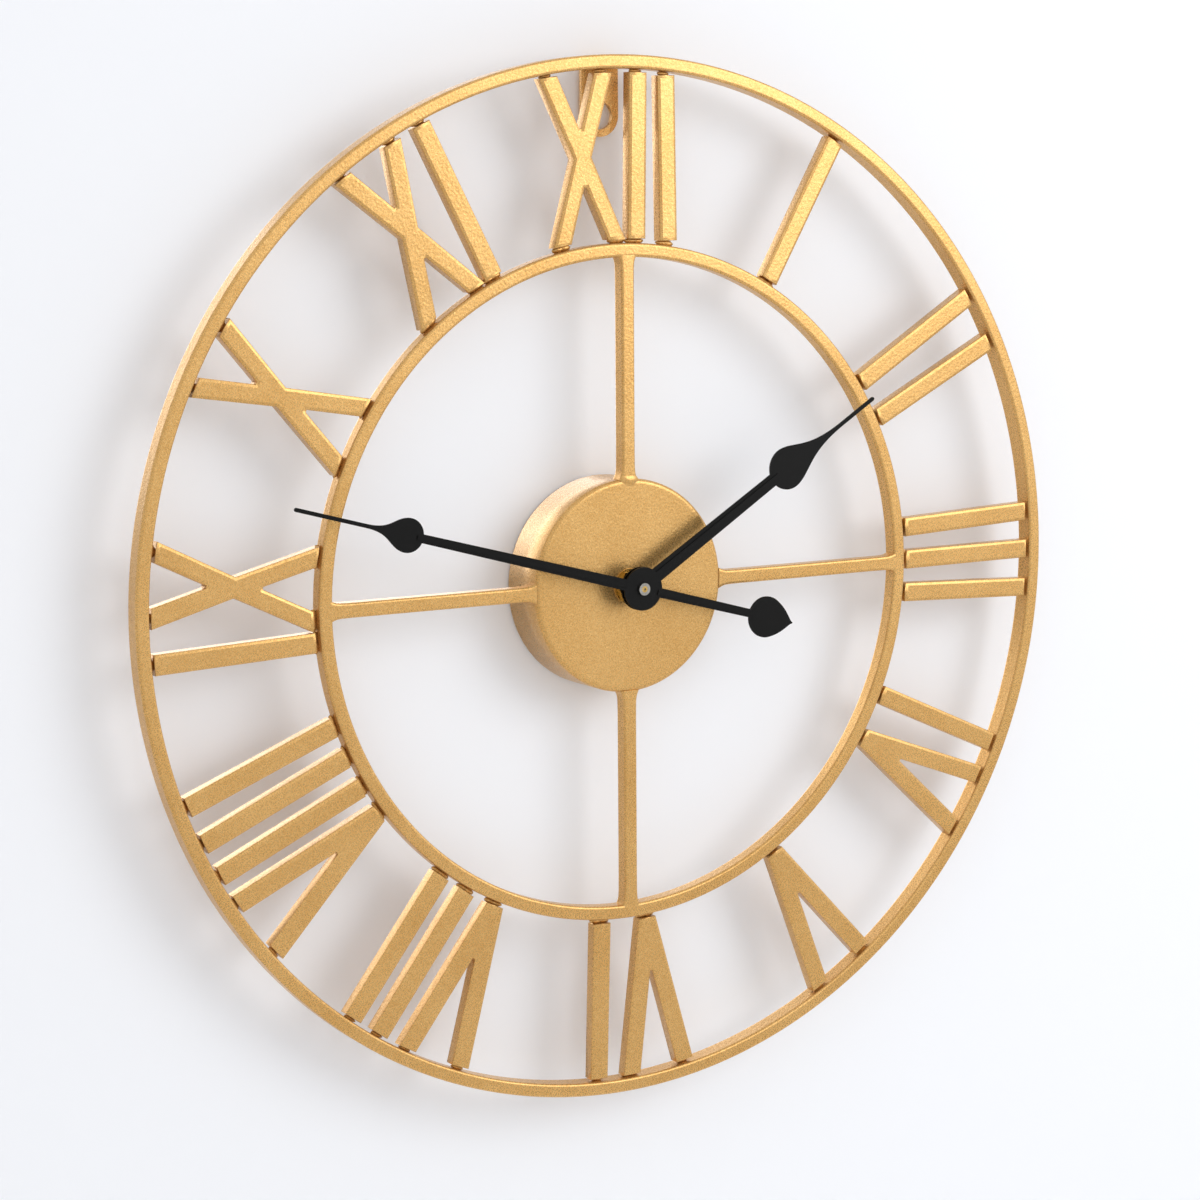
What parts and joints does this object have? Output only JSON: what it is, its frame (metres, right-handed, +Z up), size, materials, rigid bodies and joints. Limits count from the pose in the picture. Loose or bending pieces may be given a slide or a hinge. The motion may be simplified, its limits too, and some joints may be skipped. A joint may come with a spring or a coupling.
{
  "type": "wall_clock",
  "caption": "Round open-frame wall clock: two gold steel rings, pressed Roman numerals, four spokes, a central drum with a quartz movement and black spade hands.",
  "frame": {"origin": "centre of the hanger hole, on the wall plane", "axes": "+Z up, +Y into the wall; the dial faces -Y and +X is towards three o'clock"},
  "size_m": [0.5, 0.0409, 0.5],
  "materials": {
    "gold_coat": "satin metallic gold powder coat with a fine grain",
    "black_coat": "satin black stoved lacquer",
    "case_plastic": "black ABS, fine spark-eroded grain",
    "wheel_plastic": "natural white acetal, moulded",
    "brass": "turned brass",
    "plated_steel": "bright nickel-plated steel",
    "rubber": "black nitrile rubber",
    "cell_jacket": "plain shrink sleeve over a steel can",
    "board": "green solder mask over glass-fibre board",
    "epoxy": "black potting resin",
    "copper_wire": "enamelled copper wire",
    "magnet": "sintered ferrite"
  },
  "bodies": {
    "frame": {"battery_cell": "cell_jacket", "bush_nut": "brass", "bush_washer": "brass", "centre_bush": "brass", "chip_cover": "epoxy", "circuit_board": "board", "coil_bobbin": "wheel_plastic", "coil_winding": "copper_wire", "front_case": "case_plastic", "hanger_strap": "gold_coat", "inner_ring": "gold_coat", "inner_tacks": "gold_coat", "middle_plate": "wheel_plastic", "minus_contact": "plated_steel", "movement_drum": "gold_coat", "numeral_1": "gold_coat", "numeral_10": "gold_coat", "numeral_11": "gold_coat", "numeral_12": "gold_coat", "numeral_2": "gold_coat", "numeral_3": "gold_coat", "numeral_4": "gold_coat", "numeral_5": "gold_coat", "numeral_6": "gold_coat", "numeral_7": "gold_coat", "numeral_8": "gold_coat", "numeral_9": "gold_coat", "outer_ring": "gold_coat", "outer_tacks": "gold_coat", "plus_contact": "plated_steel", "quartz_crystal": "plated_steel", "rear_cover": "case_plastic", "rubber_washer": "rubber", "spoke_12": "gold_coat", "spoke_3": "gold_coat", "spoke_6": "gold_coat", "spoke_9": "gold_coat", "stator": "plated_steel"},
    "minute": {"minute_pipe": "brass", "minute_hand": "black_coat", "hand_nut": "plated_steel"},
    "hour": {"hour_wheel": "wheel_plastic", "hour_hand": "black_coat"},
    "motion_work": {"minute_works_wheel": "wheel_plastic", "setting_knob": "case_plastic"},
    "rotor": {"rotor_pinion": "wheel_plastic", "rotor_magnet": "magnet"},
    "intermediate": {"intermediate_wheel": "wheel_plastic"},
    "seconds": {"second_wheel": "plated_steel"},
    "third": {"third_wheel": "wheel_plastic"},
    "centre": {"centre_wheel": "wheel_plastic"}
  },
  "joints": [
    {"name": "minute_hand_turn", "type": "hinge", "parent": "frame", "child": "minute", "pos_m": [0, 0, -0.2225], "axis": [0, 1, 0], "continuous": true},
    {"name": "hour_hand_turn", "type": "hinge", "parent": "frame", "child": "hour", "pos_m": [0, 0, -0.2225], "axis": [0, 1, 0], "continuous": true},
    {"name": "motion_work_turn", "type": "hinge", "parent": "frame", "child": "motion_work", "pos_m": [-0.012, 0, -0.2225], "axis": [0, 1, 0], "continuous": true},
    {"name": "rotor_turn", "type": "hinge", "parent": "frame", "child": "rotor", "pos_m": [0.01555, 0, -0.21237], "axis": [0, 1, 0], "continuous": true},
    {"name": "intermediate_turn", "type": "hinge", "parent": "frame", "child": "intermediate", "pos_m": [0.01015, 0, -0.21881], "axis": [0, 1, 0], "continuous": true},
    {"name": "seconds_turn", "type": "hinge", "parent": "frame", "child": "seconds", "pos_m": [0, 0, -0.2225], "axis": [0, 1, 0], "continuous": true},
    {"name": "third_turn", "type": "hinge", "parent": "frame", "child": "third", "pos_m": [0, 0, -0.2115], "axis": [0, 1, 0], "continuous": true},
    {"name": "centre_turn", "type": "hinge", "parent": "frame", "child": "centre", "pos_m": [0, 0, -0.2225], "axis": [0, 1, 0], "continuous": true}
  ],
  "couplings": [
    {"joint": "hour_hand_turn", "follows": "minute_hand_turn", "ratio": 0.083333},
    {"joint": "motion_work_turn", "follows": "minute_hand_turn", "ratio": -0.33333},
    {"joint": "intermediate_turn", "follows": "rotor_turn", "ratio": -0.16667},
    {"joint": "seconds_turn", "follows": "rotor_turn", "ratio": 0.033333},
    {"joint": "third_turn", "follows": "rotor_turn", "ratio": -0.0041667},
    {"joint": "centre_turn", "follows": "rotor_turn", "ratio": 0.00055556}
  ]
}
